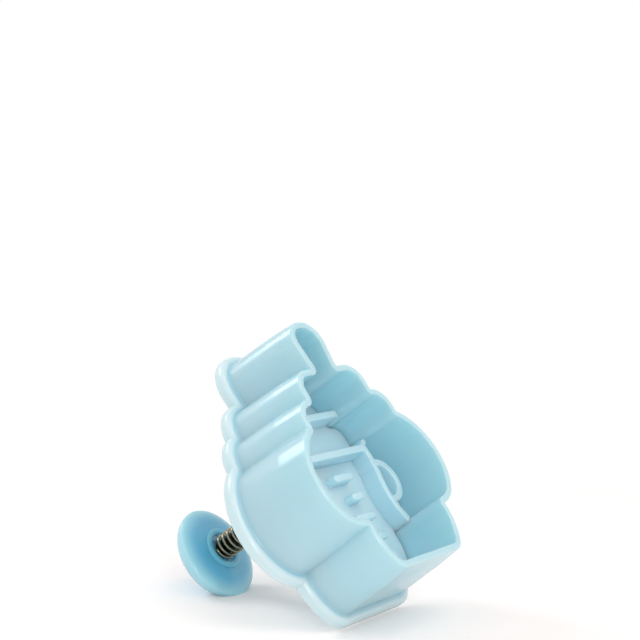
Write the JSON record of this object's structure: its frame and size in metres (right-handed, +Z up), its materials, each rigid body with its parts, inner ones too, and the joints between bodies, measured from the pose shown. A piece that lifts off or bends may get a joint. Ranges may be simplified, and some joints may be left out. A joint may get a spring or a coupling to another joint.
{
  "type": "plunger cutter",
  "caption": "Spring-loaded pastry plunger cutter in a two-handled baby bottle outline, with an embossing ejector plate, a flange and a round push knob.",
  "frame": {"origin": "middle of the box round the flange, on the plane of the cutting edge", "axes": "+Z up along the plunger from the cutting edge to the knob, +Y from the bottle's base to its teat, +X across the handles"},
  "size_m": [0.0628, 0.0702, 0.0574],
  "materials": {
    "housing_plastic": "smooth glossy pale blue moulded ABS",
    "stamp_plastic": "satin pale blue moulded ABS",
    "knob_plastic": "smooth glossy mid blue moulded ABS",
    "rod_steel": "drawn stainless steel",
    "spring_steel": "bright nickel-plated spring wire",
    "screw_steel": "zinc-plated steel"
  },
  "bodies": {
    "housing": {"cutter_housing": "housing_plastic", "return_spring": "spring_steel"},
    "plunger": {"stamp_plate": "stamp_plastic", "plunger_stem": "rod_steel", "push_knob": "knob_plastic", "knob_screw": "screw_steel", "knob_plug": "knob_plastic"}
  },
  "joints": [
    {"name": "plunger_slide", "type": "slide", "parent": "housing", "child": "plunger", "axis": [0, 0, -1], "range_m": [0, 0.013], "stiffness_N_per_m": 1250, "springref_m": -0.0025, "deforming": ["return_spring"]}
  ]
}
